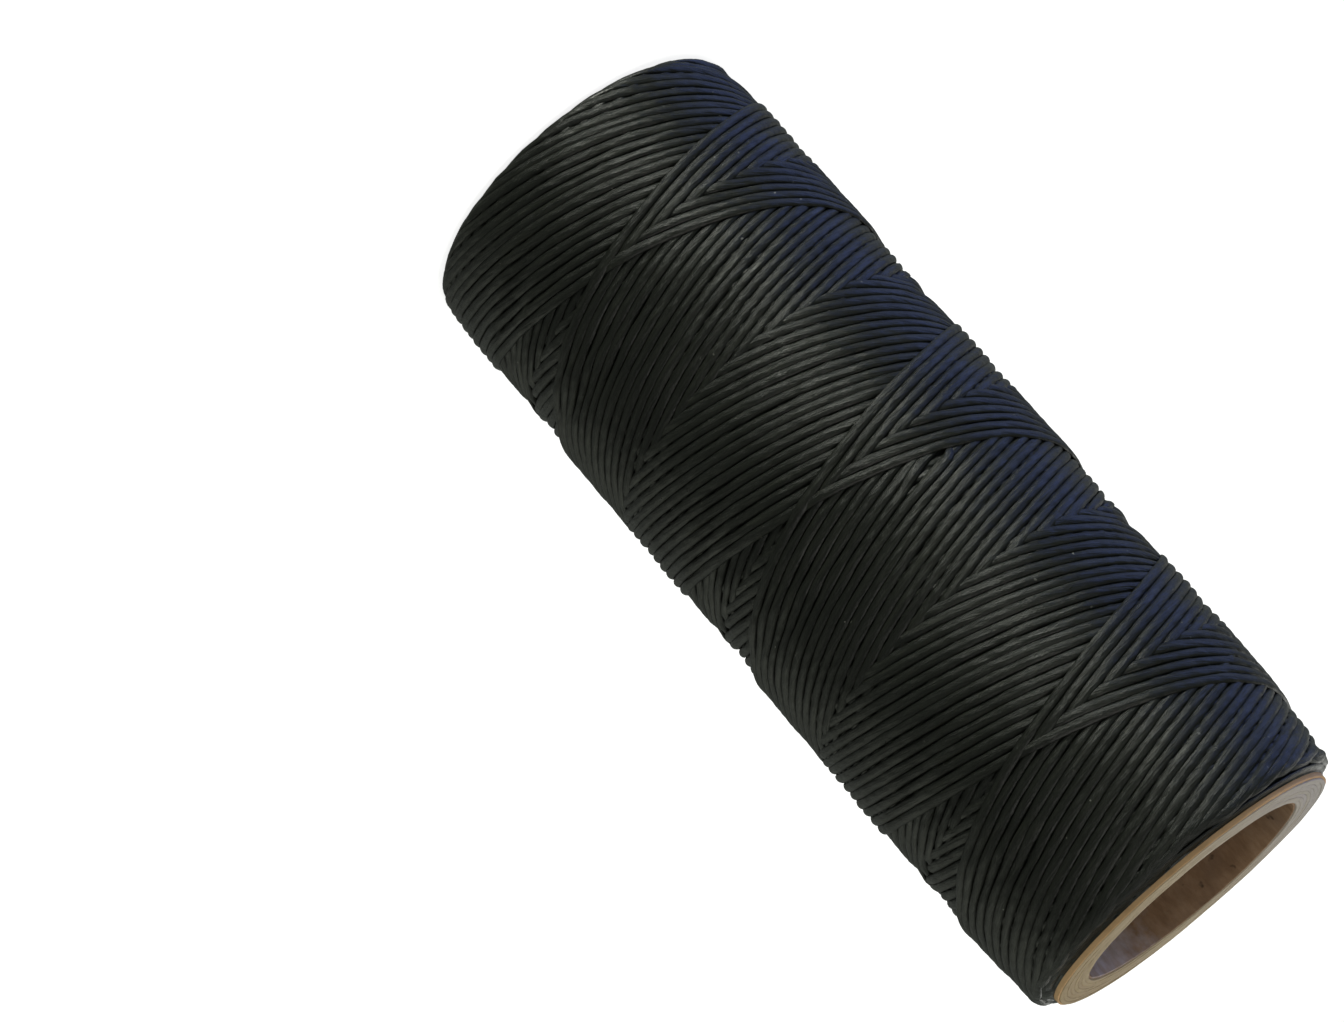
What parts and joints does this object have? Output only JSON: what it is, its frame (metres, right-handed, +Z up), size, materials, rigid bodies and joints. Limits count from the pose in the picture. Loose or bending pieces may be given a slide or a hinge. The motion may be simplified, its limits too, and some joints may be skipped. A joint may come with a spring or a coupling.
{
  "type": "waxed thread spool",
  "caption": "Flat waxed sewing thread cross-wound in soft-shouldered layers on a spiral-ply paper tube, open through the middle for a spindle.",
  "frame": {"origin": "centre of the tube's lower cut end, the face that the spool stands on", "axes": "+Z up along the tube's axis; +X and +Y are free, with the tucked thread end on the -Y side"},
  "size_m": [0.0458, 0.046, 0.1143],
  "materials": {
    "kraft_liner": "matte",
    "grey_board": "matte",
    "cream_liner": "matte",
    "waxed_thread": "satin"
  },
  "bodies": {
    "root": {"core_inner_liner": "kraft_liner", "core_body_ply_1": "grey_board", "core_body_ply_2": "grey_board", "core_body_ply_3": "grey_board", "core_body_ply_4": "grey_board", "core_body_ply_5": "grey_board", "core_body_ply_6": "grey_board", "core_body_ply_7": "grey_board", "core_body_ply_8": "grey_board", "core_outer_liner": "cream_liner", "thread_layer_1": "waxed_thread", "thread_layer_2": "waxed_thread", "thread_layer_3": "waxed_thread", "thread_layer_4": "waxed_thread", "thread_tail": "waxed_thread"}
  },
  "joints": []
}
